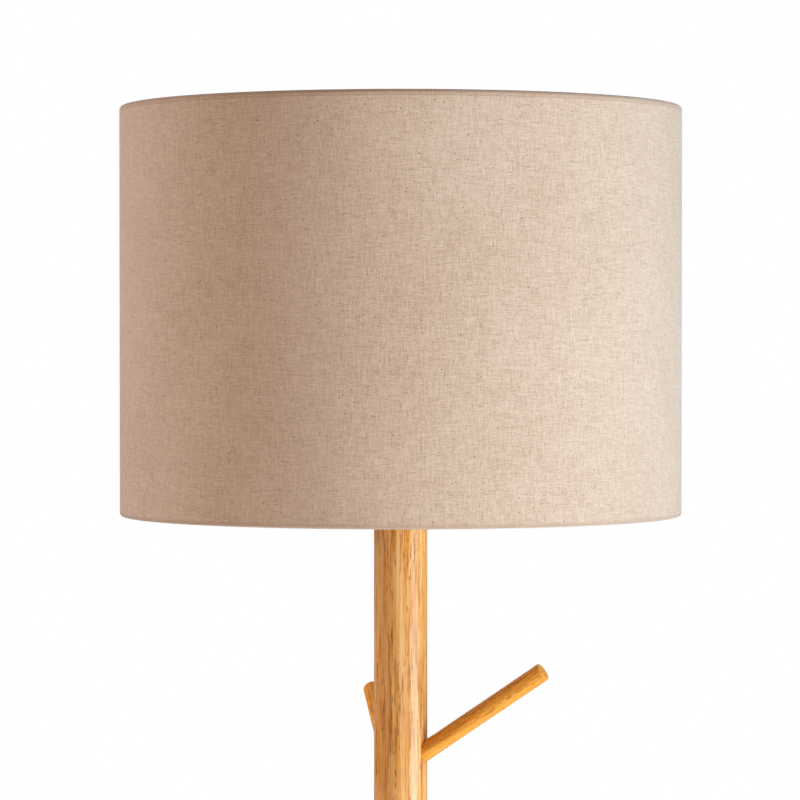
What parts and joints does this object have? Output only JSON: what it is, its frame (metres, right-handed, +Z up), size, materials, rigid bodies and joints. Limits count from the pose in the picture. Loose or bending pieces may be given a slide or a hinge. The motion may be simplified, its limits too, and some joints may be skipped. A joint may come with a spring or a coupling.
{
  "type": "floor lamp",
  "caption": "Floor lamp with a linen drum shade on a round wooden post that carries slanted coat pegs and stands on a splayed tripod base.",
  "frame": {"origin": "on the floor, on the axis of the post, which is the middle of the footprint", "axes": "+Z up along the post; -Y towards the viewer of the front, +X to the viewer's right"},
  "size_m": [0.4221, 0.429, 1.6],
  "materials": {
    "linen": "plain-weave linen and cotton, oatmeal, laminated on a stiff liner",
    "shade_lining": "smooth off-white styrene sheet",
    "white_wire": "powder-coated steel wire",
    "rubberwood": "honey rubberwood under clear satin lacquer",
    "peg_wood": "reddish rubberwood dowel under clear satin lacquer",
    "rubber": "matt black rubber",
    "zinc_steel": "zinc-plated steel",
    "brass": "plain brass",
    "black_plastic": "moulded black thermoset",
    "white_plastic": "moulded white thermoplastic",
    "ceramic": "unglazed steatite",
    "opal_plastic": "opal polycarbonate",
    "bulb_metal": "nickel-coloured cap metal",
    "flex_sheath": "black sheathed flex"
  },
  "bodies": {
    "lamp": {"shade_cover": "linen", "shade_liner": "shade_lining", "shade_top_wire": "white_wire", "shade_carrier": "white_wire", "leg_hub": "rubberwood", "leg_1": "rubberwood", "leg_2": "rubberwood", "leg_3": "rubberwood", "post_lower": "rubberwood", "post_upper": "rubberwood", "peg_right": "peg_wood", "peg_back": "peg_wood", "peg_front": "peg_wood", "foot_pad_1": "rubber", "foot_pad_2": "rubber", "foot_pad_3": "rubber", "leg_bolt_1": "zinc_steel", "leg_bolt_2": "zinc_steel", "leg_bolt_3": "zinc_steel", "hub_tube": "zinc_steel", "hub_washer": "zinc_steel", "hub_nut": "zinc_steel", "post_stud": "zinc_steel", "top_plate": "zinc_steel", "plate_screw_1": "zinc_steel", "plate_screw_2": "zinc_steel", "plate_screw_3": "zinc_steel", "nipple": "zinc_steel", "nipple_nut": "zinc_steel", "leg_insert_1": "brass", "leg_insert_2": "brass", "leg_insert_3": "brass", "post_insert_1": "brass", "post_insert_2": "brass", "post_insert_3": "brass", "centre_contact": "brass", "screw_shell": "brass", "flex_core_1": "brass", "flex_core_2": "brass", "cord_gland": "black_plastic", "holder_cup": "black_plastic", "holder_skirt": "black_plastic", "clamp_ring_lower": "black_plastic", "clamp_ring_upper": "black_plastic", "terminal_block": "ceramic", "inner_flex": "flex_sheath"},
    "switch": {"switch_bar": "white_plastic"},
    "bulb": {"bulb_contact": "bulb_metal", "bulb_insulator": "black_plastic", "bulb_cap": "bulb_metal", "bulb_body": "white_plastic", "emitter_plate": "zinc_steel", "bulb_dome": "opal_plastic"}
  },
  "joints": [
    {"name": "switch_push", "type": "slide", "parent": "lamp", "child": "switch", "axis": [-1, 0, 0], "range_m": [0, 0.006]},
    {"name": "bulb_lift", "type": "slide", "parent": "lamp", "child": "bulb", "axis": [0, 0, 1], "range_m": [0, 0.27]}
  ]
}
